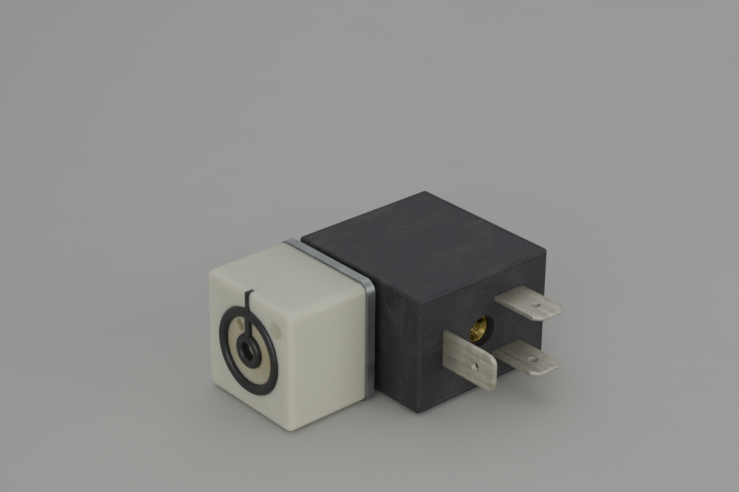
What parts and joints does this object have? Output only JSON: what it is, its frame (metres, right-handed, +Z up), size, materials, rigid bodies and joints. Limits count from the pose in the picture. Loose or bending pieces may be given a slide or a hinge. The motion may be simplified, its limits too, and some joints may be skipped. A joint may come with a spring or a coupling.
{
  "type": "solenoid valve",
  "caption": "Small direct-acting solenoid valve: moulded valve body with face seal ports, steel flange, guide tube with spring-return plunger and encapsulated coil with blade terminals.",
  "frame": {"origin": "under the centre of the bounding box, on the surface that the valve lies on", "axes": "+X along the valve axis from the port face towards the coil's rear nut, -Y out along the blade terminals, +Z up out of the surface it lies on"},
  "size_m": [0.0512, 0.0412, 0.0216],
  "materials": {
    "nylon_natural": "translucent natural polyamide with a soft sheen",
    "seal_rubber": "moulded black rubber",
    "ring_rubber": "moulded black rubber",
    "flange_zinc": "blue-grey zinc plate with sheared edges",
    "screw_steel": "bright zinc plated steel",
    "stainless": "turned stainless steel",
    "spring_steel": "bright drawn spring wire",
    "copper": "bare copper",
    "coil_black": "satin black moulding compound, slightly mottled",
    "terminal_plate": "tin plated brass, brushed, dulled towards the root",
    "insert_brass": "turned brass",
    "yoke_steel": "annealed steel strip",
    "bobbin_plastic": "glass filled moulding",
    "winding_copper": "enamelled winding wire",
    "nut_zinc": "zinc plated steel"
  },
  "bodies": {
    "valve": {"valve_body": "nylon_natural", "port_seal": "seal_rubber", "flange_plate": "flange_zinc", "flange_screw_1": "screw_steel", "flange_screw_2": "screw_steel", "flange_screw_3": "screw_steel", "flange_screw_4": "screw_steel", "body_seal_ring": "ring_rubber", "guide_tube": "stainless", "fixed_core": "stainless", "shading_ring": "copper", "return_spring": "spring_steel", "lock_washer": "nut_zinc", "retaining_nut": "nut_zinc"},
    "plunger": {"plunger": "stainless", "seat_disc": "ring_rubber"},
    "coil": {"coil_housing": "coil_black", "coil_bobbin": "bobbin_plastic", "coil_winding": "winding_copper", "yoke_frame": "yoke_steel", "pole_plate": "yoke_steel", "earth_terminal": "terminal_plate", "power_terminal_1": "terminal_plate", "power_terminal_2": "terminal_plate", "connector_insert": "insert_brass"}
  },
  "joints": [
    {"name": "plunger_slide", "type": "slide", "parent": "valve", "child": "plunger", "axis": [1, 0, 0], "range_m": [0, 0.0008], "stiffness_N_per_m": 400, "springref_m": -0.004, "deforming": ["return_spring"]},
    {"name": "coil_turn", "type": "hinge", "parent": "valve", "child": "coil", "pos_m": [0.0077, 0.00985, 0.0108], "axis": [1, 0, 0], "continuous": true}
  ]
}
